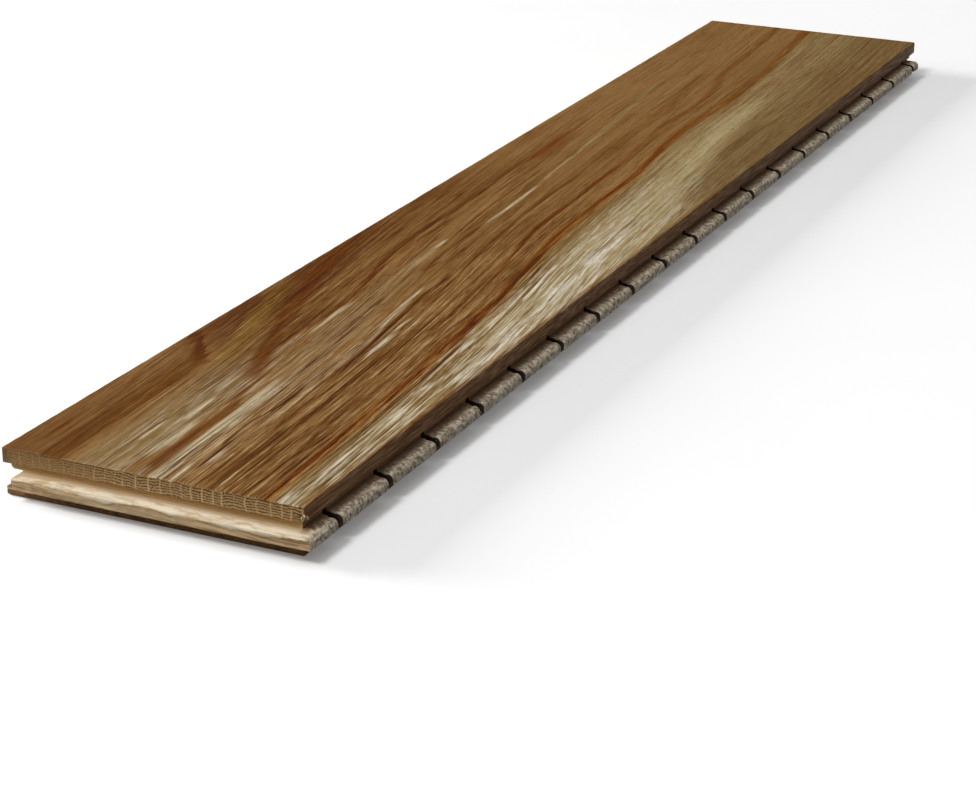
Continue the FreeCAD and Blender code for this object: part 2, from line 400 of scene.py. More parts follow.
# %% Patterns along the grain
def grain_patterns(tree, place, axis, sizes, roughness=0.5):
    """Noises drawn out along an axis, 0 for X or 1 for Y, each from its name, width and length in mm, and detail."""
    made = {}
    for name, width, length, detail in sizes:
        squeeze = [1 / width] * 3
        squeeze[axis] = 1 / length
        drawn_out = add(tree, "VectorMath", (place, squeeze), operation="MULTIPLY")
        made[name] = add(tree, "TexNoise", {"Vector": drawn_out, "Scale": 1.0, "Detail": detail,
                                            "Roughness": roughness})
    return made


patterns = grain_patterns(tree, grain, 1, (
    ("fibre", 0.9, 60, 3.0), ("band", 2.0, 130, 2.0), ("ring", 4.5, 240, 1.0), ("line", 2.6, 150, 1.0),
    ("vein", 1.8, 95, 1.0), ("fleck", 1.3, 26, 2.0), ("short", 0.55, 9.0, 2.0), ("cluster", 6.0, 75, 1.5),
    ("pore", 0.42, 6.0, 1.0), ("dash", 0.85, 38, 1.0), ("cloud", 14.0, 110, 1.5)), roughness=0.55)
print(len(patterns), "patterns along the oak's grain")

# %% [markdown]
# A stroke with an even edge would look painted on. In wood it is drawn out into fibres, so the place at which a stroke
# is looked up is first pushed to and fro by the fibres themselves, and farther along the grain than across it. Lines
# are also broken up, because the saw only grazes a year here and there.

# %% Strokes that end in fibres
BAND_PUSH, FIBRE_PUSH, PUSH_ALONG = 6.0, 4.0, 4.0
# The share of a stroke's reach, from its crest out, over which it keeps its full strength
FULL_STRENGTH = 0.3
feather = add(tree, "Math", (patterns["band"], BAND_PUSH), operation="MULTIPLY")
feather = add(tree, "Math", (patterns["fibre"], FIBRE_PUSH, feather), operation="MULTIPLY_ADD")
feather = add(tree, "Math", (feather, (BAND_PUSH + FIBRE_PUSH) / 2), operation="SUBTRACT")
ragged_y = add(tree, "Math", (feather, PUSH_ALONG, y), operation="MULTIPLY_ADD")
ragged_share = add(tree, "Math", (ragged_y, face_length), operation="DIVIDE")
broken = add(tree, "MapRange", (patterns["fleck"], 0.34, 0.52, 0.58, 1.0), **EASED)


def lay_strokes(colour, strokes, feathering, breaking):
    """Paints strokes over a colour, one by one, with edges that are drawn out along the fibres."""
    ragged_x = add(tree, "Math", (feather, feathering, x), operation="MULTIPLY_ADD")
    for code, strength, (begin, end, soft), (to_groove, to_tongue), run in strokes:
        crest = add(tree, "FloatCurve", {"Value": ragged_share})
        lay_curve(crest, run, face_length, face_width)
        off = add(tree, "Math", (crest, -face_width, ragged_x), operation="MULTIPLY_ADD")
        limits = [(off, -to_groove, -FULL_STRENGTH * to_groove, 0.0, strength),
                  (off, FULL_STRENGTH * to_tongue, to_tongue, 1.0, 0.0)]
        if begin > 0:
            limits.append((ragged_y, begin - soft, begin + soft, 0.0, 1.0))
        if end < face_length:
            limits.append((ragged_y, end - soft, end + soft, 1.0, 0.0))
        mask = breaking
        for limit in limits:
            step = add(tree, "MapRange", limit, **EASED)
            mask = add(tree, "Math", (step, mask), operation="MULTIPLY")
        colour = add(tree, "Mix", (mask, colour, paint(code)), data_type="RGBA")
    return colour


print("an edge is pushed up to", (BAND_PUSH + FIBRE_PUSH) / 2, "mm either way")

# %% [markdown]
# Under everything lies a middle brown, clouded by slow changes in the wood. The broad fields are laid on it, and their
# edges are feathered the most.

# %% Ground and fields
colour = add(tree, "Mix", (patterns["cloud"], paint("7f582c"), paint("98713f")), data_type="RGBA")
colour = lay_strokes(colour, FIELDS, feathering=1.0, breaking=1.0)
print(len(tree.nodes), "nodes with the fields")

# %% [markdown]
# Oak has rays, thin walls of pale cells that run out from the heart. Where the saw grazes them they show as short pale
# flecks. They crowd on the sapwood, up to where it turns brown, and fewer lie near the end, left of the middle. They
# could be strokes too, but there are hundreds, so a noise makes them and a mask says where they may show.

# %% Where flecks may show
pale_crest = add(tree, "FloatCurve", {"Value": share})
lay_curve(pale_crest, PALE_EDGE, face_length, face_width)
pale_off = add(tree, "Math", (x, feather), operation="ADD")
pale_off = add(tree, "Math", (pale_crest, -face_width, pale_off), operation="MULTIPLY_ADD")
pale = add(tree, "MapRange", (pale_off, -1.0, 7.0, 0.0, 1.0), **EASED)
fading = add(tree, "MapRange", (y, 300, 520, 1.0, 0.0), **EASED)
pale = add(tree, "Math", (pale, fading), operation="MULTIPLY")
brown_crest = add(tree, "FloatCurve", {"Value": share})
lay_curve(brown_crest, BROWN_EDGE, face_length, face_width)
brown_off = add(tree, "Math", (brown_crest, -face_width, x), operation="MULTIPLY_ADD")
fading = add(tree, "MapRange", (brown_off, -8.0, 2.0, 1.0, 0.15), **EASED)
pale = add(tree, "Math", (pale, fading), operation="MULTIPLY")
near = add(tree, "MapRange", (y, 90, 230, 0.35, 0.0), **EASED)
for limit in ((x, 26, 40, 0.0, 1.0), (x, 64, 84, 1.0, 0.1)):
    fading = add(tree, "MapRange", limit, **EASED)
    near = add(tree, "Math", (near, fading), operation="MULTIPLY")
flecked = add(tree, "Math", (pale, near), operation="MAXIMUM")
print(len(tree.nodes), "nodes with the mask for flecks")

# %% Flecks of ray
crowd = add(tree, "MapRange", (patterns["cluster"], 0.35, 0.6, 0.1, -0.04), **EASED)
fleck = add(tree, "Math", (patterns["fleck"], crowd), operation="SUBTRACT")
fleck = add(tree, "MapRange", (fleck, 0.44, 0.60, 0.0, 0.9), **EASED)
fleck = add(tree, "Math", (fleck, flecked), operation="MULTIPLY")
colour = add(tree, "Mix", (fleck, colour, paint("cfc1a4")), data_type="RGBA")
print(len(tree.nodes), "nodes with the flecks")

# %% [markdown]
# The dark lines go over the flecks and the cream strokes over the lines, as each is narrower and sharper than the one
# before. Their edges are feathered less than those of the fields.

# %% Dark lines and cream strokes
LINE_FEATHER = 0.22
colour = lay_strokes(colour, LINES, LINE_FEATHER, broken)
colour = lay_strokes(colour, CREAMS, LINE_FEATHER, broken)
streaky = add(tree, "MapRange", (patterns["fleck"], 0.38, 0.56, 0.12, 1.0), **EASED)
colour = lay_strokes(colour, SAPWOOD_CREAMS, LINE_FEATHER, streaky)
print(len(tree.nodes), "nodes with all the strokes")

# %% [markdown]
# Between them run the thin lines of ordinary years. They could be listed too, but they are many and much alike: where
# a slow noise crosses its middle value it leaves a long thin line, just as they look. They come in bundles, and they
# are weaker on pale wood, near the end on the left, and towards the far end.

# %% How strong the year lines are
calm = add(tree, "MapRange", (y, 200, 500, 1.0, 0.48), **EASED)
quiet = add(tree, "MapRange", (flecked, 0.0, 1.0, 1.0, 0.4), clamp=False)
quiet = add(tree, "Math", (quiet, calm), operation="MULTIPLY")
softer = add(tree, "MapRange", (y, 30, 150, 0.42, 0.0), **EASED)
on_left = add(tree, "MapRange", (x, 58, 72, 1.0, 0.0), **EASED)
softer = add(tree, "Math", (softer, on_left), operation="MULTIPLY")
softer = add(tree, "Math", (1.0, softer), operation="SUBTRACT")
quiet = add(tree, "Math", (quiet, softer), operation="MULTIPLY")
bundled = add(tree, "MapRange", (patterns["cluster"], 0.40, 0.54, 0.1, 1.0), **EASED)
quiet = add(tree, "Math", (quiet, bundled), operation="MULTIPLY")
print(len(tree.nodes), "nodes with the strength of the year lines")

# %% Year lines and pores
YEAR_LINE = paint("5e3302")
for name, width, strength in (("ring", 0.022, 0.85), ("line", 0.026, 0.80), ("vein", 0.030, 0.70)):
    crossing = add(tree, "Math", (patterns[name], 0.5), operation="SUBTRACT")
    crossing = add(tree, "Math", (crossing,), operation="ABSOLUTE")
    crossing = add(tree, "MapRange", (crossing, 0.2 * width, width, strength, 0.0), **EASED)
    crossing = add(tree, "Math", (crossing, quiet), operation="MULTIPLY")
    colour = add(tree, "Mix", (crossing, colour, YEAR_LINE), data_type="RGBA")
dash = add(tree, "MapRange", (patterns["dash"], 0.56, 0.63, 0.0, 0.55), **EASED)
dash = add(tree, "Math", (dash, quiet), operation="MULTIPLY")
colour = add(tree, "Mix", (dash, colour, YEAR_LINE), data_type="RGBA")
pore = add(tree, "MapRange", (patterns["pore"], 0.58, 0.70, 0.0, 0.4), **EASED)
colour = add(tree, "Mix", (pore, colour, paint("4e2b04")), data_type="RGBA")
print(len(tree.nodes), "nodes with year lines and pores")

# %% [markdown]
# The brush takes out the soft fibres and leaves the hard ones standing, and oil darkens the hollows. Mixing in one dark
# colour would grey red and cream alike, so a gamma deepens each colour in its own hue, more where a fibre lies deep.

# %% Brushed fibres
depth = 0.0
for name, amount in (("fibre", 0.42), ("band", 0.26), ("short", 0.28)):
    swing = add(tree, "MapRange", (patterns[name], 0.2, 0.8, amount, -amount), clamp=False)
    depth = add(tree, "Math", (swing, depth), operation="ADD")
combed = add(tree, "MapRange", (x, 62, 74, 0.85, 1.35), **EASED)
fading = add(tree, "MapRange", (y, 160, 320, 1.0, 0.8), **EASED)
combed = add(tree, "Math", (combed, fading), operation="MULTIPLY")
combed = add(tree, "Math", (combed, softer), operation="MULTIPLY")
calm = add(tree, "Math", (calm, combed), operation="MULTIPLY")
middle = add(tree, "MapRange", (y, 250, 600, 1.02, 0.95), **EASED)
depth = add(tree, "Math", (depth, calm, middle), operation="MULTIPLY_ADD")
face_colour = add(tree, "Gamma", (colour, depth))
print(len(tree.nodes), "nodes with the whole face")

# %% [markdown]
# The ends are sawn across the grain, so they show the years as rows of pores about 1.1 mm apart that rise and fall and,
# crossing them, the pale rays that mark oak from other woods, about 4.7 mm apart. They could be a material of their
# own, but it is the same block seen from another side, so the direction of the surface chooses between them below.

# %% Rows of pores and rays
RING, RAY = 1.1, 4.7
wave = add(tree, "VectorMath", (place, (0.14, 0.0, 0.12)), operation="MULTIPLY")
swell = add(tree, "TexNoise", {"Vector": wave, "Scale": 1.0, "Detail": 3.0})
lift = add(tree, "Math", (swell, 6.0), operation="MULTIPLY")
row = add(tree, "Math", (z, 2 / RING, lift), operation="MULTIPLY_ADD")
row = add(tree, "Math", (row, 1.0), operation="PINGPONG")
speck = add(tree, "TexNoise", {"Vector": place, "Scale": 1.3, "Detail": 3.0})
row = add(tree, "Math", (speck, 2.4, row), operation="MULTIPLY_ADD")
row = add(tree, "MapRange", (row, 1.30, 2.15, 0.0, 1.0), **EASED)
wave = add(tree, "VectorMath", (place, (0.03, 0.0, 0.16)), operation="MULTIPLY")
bend = add(tree, "TexNoise", {"Vector": wave, "Scale": 1.0, "Detail": 1.0})
ray = add(tree, "Math", (x, 1 / RAY), operation="MULTIPLY")
ray = add(tree, "Math", (bend, 0.45, ray), operation="MULTIPLY_ADD")
ray = add(tree, "TexVoronoi", {"W": ray, "Scale": 1.0, "Randomness": 0.8}, voronoi_dimensions="1D",
          feature="DISTANCE_TO_EDGE")
ray = add(tree, "Math", (speck, -0.16, ray), operation="MULTIPLY_ADD")
ray = add(tree, "MapRange", (ray, -0.05, 0.02, 0.9, 0.0), **EASED)
fading = add(tree, "MapRange", (swell, 0.36, 0.56, 0.3, 1.0), **EASED)
ray = add(tree, "Math", (ray, fading), operation="MULTIPLY")
print("about", round((oak_high.z - oak_low.z) / RING), "rows and", round(face_width / RAY), "rays on an end")

# %% [markdown]
# The saw blurred the rows near the groove side, and they are clear from the middle on. Painted shade darkens the
# top edge, where the saw broke it, and the groove corner is darker too. The end also deepens a little towards the face.

# %% Sawn ends of the oak
clear = add(tree, "MapRange", (x, 22, 58, 0.28, 0.95), **EASED)
mottle = add(tree, "MapRange", (speck, 0.3, 0.7, 0.0, 1.0), **EASED)
plain = add(tree, "Mix", (mottle, paint("9f7b4e"), paint("866339")), data_type="RGBA")
barred = add(tree, "Mix", (row, paint("b49464"), paint("614225")), data_type="RGBA")
end_colour = add(tree, "Mix", (clear, plain, barred), data_type="RGBA")
ray = add(tree, "Math", (ray, clear), operation="MULTIPLY")
end_colour = add(tree, "Mix", (ray, end_colour, paint("c8aa7c")), data_type="RGBA")
# The groove corner is darker, and the broken top edge gets painted shade
corner = add(tree, "MapRange", (x, 0.5, 5.0, 0.55, 0.0), **EASED)
arris = add(tree, "MapRange", (z, 5.3, 6.1, 0.0, 0.95), **EASED)
fading = add(tree, "MapRange", (patterns["cloud"], 0.35, 0.55, 0.3, 1.0), **EASED)
arris = add(tree, "Math", (arris, fading), operation="MULTIPLY")
arris = add(tree, "Math", (arris, corner), operation="MAXIMUM")
end_colour = add(tree, "Mix", (arris, end_colour, paint("4c3319")), data_type="RGBA")
# Darker towards the face and lighter towards the glue line
deeper_upward = add(tree, "MapRange", (z, 0.0, 6.3, 0.93, 1.08), **EASED)
end_colour = add(tree, "Gamma", (end_colour, deeper_upward))
print(len(tree.nodes), "nodes with the ends")

# %% [markdown]
# The milled sides show the same wood along the grain, darker and without the figure of the face. Then the direction of
# the surface chooses between face, side and end.

# %% Milled sides, and the choice between faces
side_colour = add(tree, "Mix", (patterns["band"], paint("744d26"), paint("8e6332")), data_type="RGBA")
side_depth = add(tree, "MapRange", (patterns["fibre"], 0.25, 0.75, 1.5, 0.72), **EASED)
side_colour = add(tree, "Gamma", (side_colour, side_depth))
facing = add(tree, "TexCoord").node.outputs["Normal"]
facing = add(tree, "VectorMath", (facing,), operation="ABSOLUTE")
facing_side, facing_end, _ = add(tree, "SeparateXYZ", (facing,)).node.outputs
facing_side = add(tree, "MapRange", (facing_side, 0.75, 0.85, 0.0, 0.9), **EASED)
facing_end = add(tree, "MapRange", (facing_end, 0.75, 0.85, 0.0, 1.0), **EASED)
colour = add(tree, "Mix", (facing_side, face_colour, side_colour), data_type="RGBA")
colour = add(tree, "Mix", (facing_end, colour, end_colour), data_type="RGBA")
print(len(tree.nodes), "nodes with all faces")

# %% [markdown]
# Oil soaks in and leaves no film, so there is no coat over the wood. To the eye this gives fine ridges along the grain
# with a low, silky sheen on them, and dull hollows and pores between. The ridges could be cut into the mesh, but they
# are about a tenth of a millimetre high, and a bump shows as much.

# %% Brushed and oiled finish
hollow = add(tree, "Math", (pore, -1.2), operation="MULTIPLY")
height = add(tree, "Math", (patterns["fibre"], 0.5, hollow), operation="MULTIPLY_ADD")
bump = add(tree, "Bump", {"Strength": 0.6, "Distance": 0.12 * MM, "Height": height})
sheen = add(tree, "MapRange", (patterns["fibre"], 0.3, 0.7, 0.66, 0.54), **EASED)
finish = add(tree, "BsdfPrincipled", {"Base Color": colour, "Roughness": sheen, "IOR": 1.47,
                                      "Specular IOR Level": 0.15, "Normal": bump})
add(tree, "OutputMaterial", (finish,))
print(len(tree.nodes), "nodes in", oak.name)

# %% [markdown]
# Where oak is torn rather than cut, its fibres come away raw, with no oil on them, so the eye sees them pale and quite
# matt. They are too thin to show a pattern along them, and a soft mottle of about a millimetre is enough.

# %% Torn oak fibre
TUFTS_PER_METRE = 900.0
fibre, tree = new_material("torn_oak_fibre")
place = add(tree, "TexCoord").node.outputs["Object"]
mottle = add(tree, "TexNoise", {"Vector": place, "Scale": TUFTS_PER_METRE, "Detail": 2.0})
colour = add(tree, "Mix", (mottle, paint("b8a074"), paint("efe2c4")), data_type="RGBA")
bump = add(tree, "Bump", {"Strength": 0.4, "Distance": 0.1 * MM, "Height": mottle})
finish = add(tree, "BsdfPrincipled", {"Base Color": colour, "Roughness": 0.7, "IOR": 1.47, "Normal": bump})
add(tree, "OutputMaterial", (finish,))
print(len(tree.nodes), "nodes in", fibre.name)

# %% [markdown]
# ## Softwood: the core and the back
#
# The core slats are spruce, laid across the board. The cutter that mills the end tongue leaves its top a fresh cream
# and tears the fibres out below, along an uneven edge. The ends of the slats show end grain, rough on the side tongue
# and clean in the groove. The slots between the slats are painted dark, as painted shade. Each could be a material of
# its own, but it is one wood cut in several ways, so the place and the direction of the surface choose between them.
# The torn edge is a curve, as (mm from the groove edge, mm above the underside), and the mesh will follow it too.

# %% Start the spruce
TORN_EDGE = ((0, 9.6), (10, 10), (17, 10.6), (27, 10.4), (31, 10), (40, 9.4), (45, 8.9), (48.5, 8.3), (53, 9.6),
             (59, 10), (65, 10.4), (73, 9.8), (78, 9), (82, 8.7), (86, 9.1), (91, 9.6), (99, 9.2), (103, 8.9),
             (108, 9.3), (116, 8.8), (121, 9.2), (126, 9.9), (140, 10))
TORN_LENGTH, TORN_HEIGHT = 140, 20
spruce, tree = new_material("milled_spruce")
place = add(tree, "TexCoord").node.outputs["Object"]
place = add(tree, "VectorMath", {"Vector": place, "Scale": 1 / MM}, operation="SCALE")
x, y, z = add(tree, "SeparateXYZ", (place,)).node.outputs
facing = add(tree, "TexCoord").node.outputs["Normal"]
facing = add(tree, "VectorMath", (facing,), operation="ABSOLUTE")
facing_side, facing_end, _ = add(tree, "SeparateXYZ", (facing,)).node.outputs
torn_heights = [height for _, height in TORN_EDGE]
print("the torn edge lies", min(torn_heights), "to", max(torn_heights), "mm above the underside")

# %% [markdown]
# Spruce grows straight, so along a slat its grain is even, with a slight slant and swell. Its fibres are far too fine
# to show from here and are drawn as bundles of 0.45 mm. Across its end there is no direction, only a rough crumb.

# %% Grain of the slats
wave = add(tree, "VectorMath", (place, (0.016, 0.02, 0.02)), operation="MULTIPLY")
swell = add(tree, "TexNoise", {"Vector": wave, "Scale": 1.0, "Detail": 1.0})
slant = add(tree, "Math", (swell, 6.0, z), operation="MULTIPLY_ADD")
slant = add(tree, "Math", (x, 0.05, slant), operation="MULTIPLY_ADD")
grain = add(tree, "CombineXYZ", (x, y, slant))
long_grain = grain_patterns(tree, grain, 0, (
    ("streak", 1.3, 40, 3.0), ("fibre", 0.45, 16, 2.0), ("cloud", 6.0, 40, 2.0)))
rough_end = add(tree, "TexNoise", {"Vector": place, "Scale": 0.5, "Detail": 4.0, "Roughness": 0.62})
print(len(long_grain), "patterns along the slats")

# %% [markdown]
# The top of the end tongue is fresh from the cutter: cream, with a few tan streaks. Blotches of handling lie on it,
# more of them towards the groove side, and painted shade darkens it into the corner under the oak.

# %% Fresh wood
fresh = add(tree, "Mix", (long_grain["cloud"], paint("dccaa8"), paint("f6ecd8")), data_type="RGBA")
streak = add(tree, "MapRange", (long_grain["streak"], 0.56, 0.72, 0.0, 0.6), **EASED)
fresh = add(tree, "Mix", (streak, fresh, paint("b48e5c")), data_type="RGBA")
wave = add(tree, "VectorMath", (place, (0.12, 0.3, 0.3)), operation="MULTIPLY")
stain = add(tree, "TexNoise", {"Vector": wave, "Scale": 1.0, "Detail": 4.0, "Roughness": 0.6})
worn = add(tree, "MapRange", (x, -55, -22, 0.16, 0.0), **EASED)
stains_and_shade = add(tree, "Math", (stain, worn), operation="ADD")
stains_and_shade = add(tree, "MapRange", (stains_and_shade, 0.46, 0.66, 0.0, 0.75), **EASED)
# Painted shade: the top darkens into the corner under the oak's overhang
shade_in_corner = add(tree, "MapRange", (y, oak_low.y - 2.6, oak_low.y + 0.6, 0.0, 0.75), **EASED)
stains_and_shade = add(tree, "Math", (stains_and_shade, shade_in_corner), operation="MAXIMUM")
fresh = add(tree, "Mix", (stains_and_shade, fresh, paint("bd9a68")), data_type="RGBA")
print(len(tree.nodes), "nodes with fresh wood")

# %% [markdown]
# Below the torn edge the fibres came away with the cutter, so the front is tan with many brown streaks, paler in the
# middle. The curve gives the edge, and noise frays it.

# %% Torn front of the end tongue
torn = add(tree, "Mix", (long_grain["cloud"], paint("ceaa76"), paint("e2c59a")), data_type="RGBA")
streak = add(tree, "MapRange", (long_grain["streak"], 0.42, 0.60, 0.0, 0.95), **EASED)
torn = add(tree, "Mix", (streak, torn, paint("8a6230")), data_type="RGBA")
to_middle = add(tree, "Math", (x, 10.0), operation="ADD")
to_middle = add(tree, "Math", (to_middle,), operation="ABSOLUTE")
paler = add(tree, "MapRange", (to_middle, 10, 36, 0.42, 0.14), **EASED)
torn = add(tree, "Mix", (paler, torn, paint("e6cfa4")), data_type="RGBA")
along = add(tree, "Math", (x, oak_low.x), operation="SUBTRACT")
along = add(tree, "Math", (along, TORN_LENGTH), operation="DIVIDE")
torn_edge = add(tree, "FloatCurve", {"Value": along})
lay_curve(torn_edge, TORN_EDGE, TORN_LENGTH, TORN_HEIGHT)
below = add(tree, "Math", (z, -1.0), operation="MULTIPLY")
below = add(tree, "Math", (torn_edge, TORN_HEIGHT, below), operation="MULTIPLY_ADD")
below = add(tree, "Math", (stain, 2.0, below), operation="MULTIPLY_ADD")
below = add(tree, "Math", (rough_end, 2.0, below), operation="MULTIPLY_ADD")
below = add(tree, "MapRange", (below, 1.5, 2.7, 0.0, 1.0), **EASED)
in_front = add(tree, "MapRange", (facing_end, 0.15, 0.55, 0.0, 1.0), **EASED)
below = add(tree, "Math", (below, in_front), operation="MULTIPLY")
on_end = add(tree, "MapRange", (y, oak_low.y + 2.5, oak_low.y + 2.0, 0.0, 1.0))
below = add(tree, "Math", (below, on_end), operation="MULTIPLY")
colour = add(tree, "Mix", (below, fresh, torn), data_type="RGBA")
print(len(tree.nodes), "nodes with the torn front")

# %% [markdown]
# The shoulder above the end tongue is a plain tan and ends in a dark glue line under the oak. The walls of the slots
# are painted nearly black, as painted shade, since little light gets down between the slats.

# %% Shoulder, glue line and painted shade in the slots
shoulder = add(tree, "MapRange", (z, 10.8, 11.0, 0.0, 1.0))
shoulder = add(tree, "Math", (shoulder, on_end), operation="MULTIPLY")
colour = add(tree, "Mix", (shoulder, colour, paint("d4ad74")), data_type="RGBA")
glue = add(tree, "MapRange", (z, 13.2, 13.5, 0.0, 0.8))
colour = add(tree, "Mix", (glue, colour, paint("4a3320")), data_type="RGBA")
level = add(tree, "MapRange", (long_grain["fibre"], 0.25, 0.75, 0.86, 1.10))
colour = add(tree, "VectorMath", {"Vector": colour, "Scale": level}, operation="SCALE")
# Painted shade: the walls of the slots are painted nearly black
slot_shade = add(tree, "MapRange", (facing_end, 0.5, 0.8, 0.0, 1.0))
for limit in ((y, oak_low.y + 3, oak_low.y + 4, 0.0, 1.0), (y, oak_high.y - 12, oak_high.y - 10, 1.0, 0.0)):
    inside = add(tree, "MapRange", limit)
    slot_shade = add(tree, "Math", (slot_shade, inside), operation="MULTIPLY")
colour = add(tree, "Mix", (slot_shade, colour, paint("2c2015")), data_type="RGBA")
print(len(tree.nodes), "nodes with the slots")

# %% [markdown]
# On the noses of the side tongue the cutter broke the ends of the fibres off, so they are a crumb of pale tufts and
# dark pits. Towards the oak they turn a darker brown, painted shade under its overhang.

# %% Rough noses
crumb = add(tree, "MapRange", (rough_end, 0.34, 0.62, 0.0, 1.0))
end_grain = add(tree, "Mix", (crumb, paint("776048"), paint("f2e4ca")), data_type="RGBA")
pit = add(tree, "TexNoise", {"Vector": place, "Scale": 1.1, "Detail": 3.0})
pit = add(tree, "MapRange", (pit, 0.58, 0.68, 0.0, 0.75), **EASED)
end_grain = add(tree, "Mix", (pit, end_grain, paint("3a2c1e")), data_type="RGBA")
side_tongue = add(tree, "MapRange", (x, oak_high.x - 2.5, oak_high.x - 0.5, 0.0, 0.95), **EASED)
past_corner = add(tree, "MapRange", (y, oak_low.y - 2.5, oak_low.y + 1.5, 0.0, 1.0))
side_tongue = add(tree, "Math", (side_tongue, past_corner), operation="MULTIPLY")
# Painted shade: darker brown towards the oak, under its overhang
shade_under_oak = add(tree, "Math", (rough_end, 4.0, x), operation="MULTIPLY_ADD")
shade_under_oak = add(tree, "MapRange", (shade_under_oak, oak_high.x + 0.5, oak_high.x + 6.6, 0.95, 0.0), **EASED)
on_tongue = add(tree, "MapRange", (x, 0, 10, 0.0, 1.0), **EASED)
shade_under_oak = add(tree, "Math", (shade_under_oak, on_tongue), operation="MULTIPLY")
end_grain = add(tree, "Mix", (shade_under_oak, end_grain, paint("8a6542")), data_type="RGBA")
print(len(tree.nodes), "nodes with the noses")

# %% [markdown]
# On the groove side another cutter left the ends of the slats clean, so they show the year rings of the trees. Each
# slat comes from another place in a trunk, and a slow noise, folded many times, gives rings that turn as they do there.

# %% Clean ends in the groove
rings = add(tree, "VectorMath", (place, (0.0, 0.022, 0.05)), operation="MULTIPLY")
rings = add(tree, "TexNoise", {"Vector": rings, "Scale": 1.0, "Detail": 1.0})
rings = add(tree, "Math", (rings, 30.0), operation="MULTIPLY")
rings = add(tree, "Math", (rings, 1.0), operation="PINGPONG")
rings = add(tree, "Math", (rough_end, 0.5, rings), operation="MULTIPLY_ADD")
rings = add(tree, "MapRange", (rings, 0.55, 1.25, 0.0, 1.0), **EASED)
clean_end = add(tree, "Mix", (rings, paint("bd9d70"), paint("8f6a3e")), data_type="RGBA")
on_groove = add(tree, "MapRange", (x, -10, 0, 1.0, 0.0), **EASED)
end_grain = add(tree, "Mix", (on_groove, end_grain, clean_end), data_type="RGBA")
print(len(tree.nodes), "nodes with the groove")

# %% [markdown]
# The wood is left as it was milled, without oil, so the eye sees no sheen on it at all, only the crumb of the cut ends
# and a slight ribbing along the grain.

# %% Milled finish of the spruce
cut_end = add(tree, "MapRange", (facing_side, 0.35, 0.65, 0.0, 1.0), **EASED)
cut_end = add(tree, "Math", (cut_end, side_tongue), operation="MAXIMUM")
outside = add(tree, "Math", (1.0, slot_shade), operation="SUBTRACT")
cut_end = add(tree, "Math", (cut_end, outside), operation="MULTIPLY")
colour = add(tree, "Mix", (cut_end, colour, end_grain), data_type="RGBA")
height = add(tree, "Mix", (cut_end, long_grain["fibre"], rough_end), data_type="FLOAT")
bump = add(tree, "Bump", {"Strength": 0.7, "Distance": 0.2 * MM, "Height": height})
finish = add(tree, "BsdfPrincipled", {"Base Color": colour, "Roughness": 0.72, "IOR": 1.45, "Normal": bump})
add(tree, "OutputMaterial", (finish,))
print(len(tree.nodes), "nodes in", spruce.name)

# %% [markdown]
# The back is a softwood veneer, peeled off a turning log, with its grain along the board. Peeling opens short checks,
# and a cut that follows the rings gives broad flames of late wood. Its fibres and checks are finer than a tenth of a
# millimetre and are drawn about half a millimetre wide. The veneer is brown, far darker than the core.

# %% Grain of the back
veneer, tree = new_material("peeled_softwood_back")
place = add(tree, "TexCoord").node.outputs["Object"]
place = add(tree, "VectorMath", {"Vector": place, "Scale": 1 / MM}, operation="SCALE")
long_grain = grain_patterns(tree, place, 1, (
    ("streak", 3.0, 90, 3.0), ("fibre", 0.6, 30, 2.0), ("flame", 30, 300, 1.5), ("check", 0.5, 16, 1.0)))
streak = add(tree, "MapRange", (long_grain["streak"], 0.35, 0.65, 0.0, 1.0))
colour = add(tree, "Mix", (streak, paint("7a4e22"), paint("906332")), data_type="RGBA")
late_wood = add(tree, "Math", (long_grain["flame"], 16.0), operation="MULTIPLY")
late_wood = add(tree, "Math", (late_wood, 1.0), operation="PINGPONG")
late_wood = add(tree, "MapRange", (late_wood, 0.5, 1.0, 0.0, 0.6), **EASED)
colour = add(tree, "Mix", (late_wood, colour, paint("5a3414")), data_type="RGBA")
check = add(tree, "MapRange", (long_grain["check"], 0.62, 0.70, 0.0, 0.7), **EASED)
colour = add(tree, "Mix", (check, colour, paint("3a2412")), data_type="RGBA")
level = add(tree, "MapRange", (long_grain["fibre"], 0.25, 0.75, 0.8, 1.2))
colour = add(tree, "VectorMath", {"Vector": colour, "Scale": level}, operation="SCALE")
print(len(long_grain), "patterns along the back")

# %% [markdown]
# Its upper side is painted dark, as painted shade where it shows at the bottom of the slots. A peeled surface is rough
# and dry, so to the eye it is quite matt, with a fine rasp along the grain.

# %% Peeled finish of the back
facing = add(tree, "TexCoord").node.outputs["Normal"]
facing_up = add(tree, "SeparateXYZ", (facing,)).node.outputs["Z"]
# Painted shade: the upper side, seen only at the bottom of the slots, is painted dark
slot_floor_shade = add(tree, "MapRange", (facing_up, 0.5, 0.8, 0.0, 0.9), **EASED)
colour = add(tree, "Mix", (slot_floor_shade, colour, paint("2c2015")), data_type="RGBA")
height = add(tree, "Math", (check, -1.0, long_grain["fibre"]), operation="MULTIPLY_ADD")
bump = add(tree, "Bump", {"Strength": 0.6, "Distance": 0.15 * MM, "Height": height})
finish = add(tree, "BsdfPrincipled", {"Base Color": colour, "Roughness": 0.75, "IOR": 1.45, "Normal": bump})
add(tree, "OutputMaterial", (finish,))
print(len(tree.nodes), "nodes in", veneer.name)

# %% [markdown]
# ## The pieces
#
# A saw and a cutter leave edges that are a little rounded and broken. A bevel modifier alone would round them evenly,
# so each solid is copied, its outer edges are eased, and its faces are cut along even lines into small ones that can
# be moved one by one. Lengths are in millimetres while the mesh is worked.

# %% A worked copy of a solid
def even_places(low, high, step):
    """Places between two others that part the stretch into even steps of about the given size."""
    count = max(1, round((high - low) / step))
    return [low + (high - low) * number / count for number in range(1, count)]


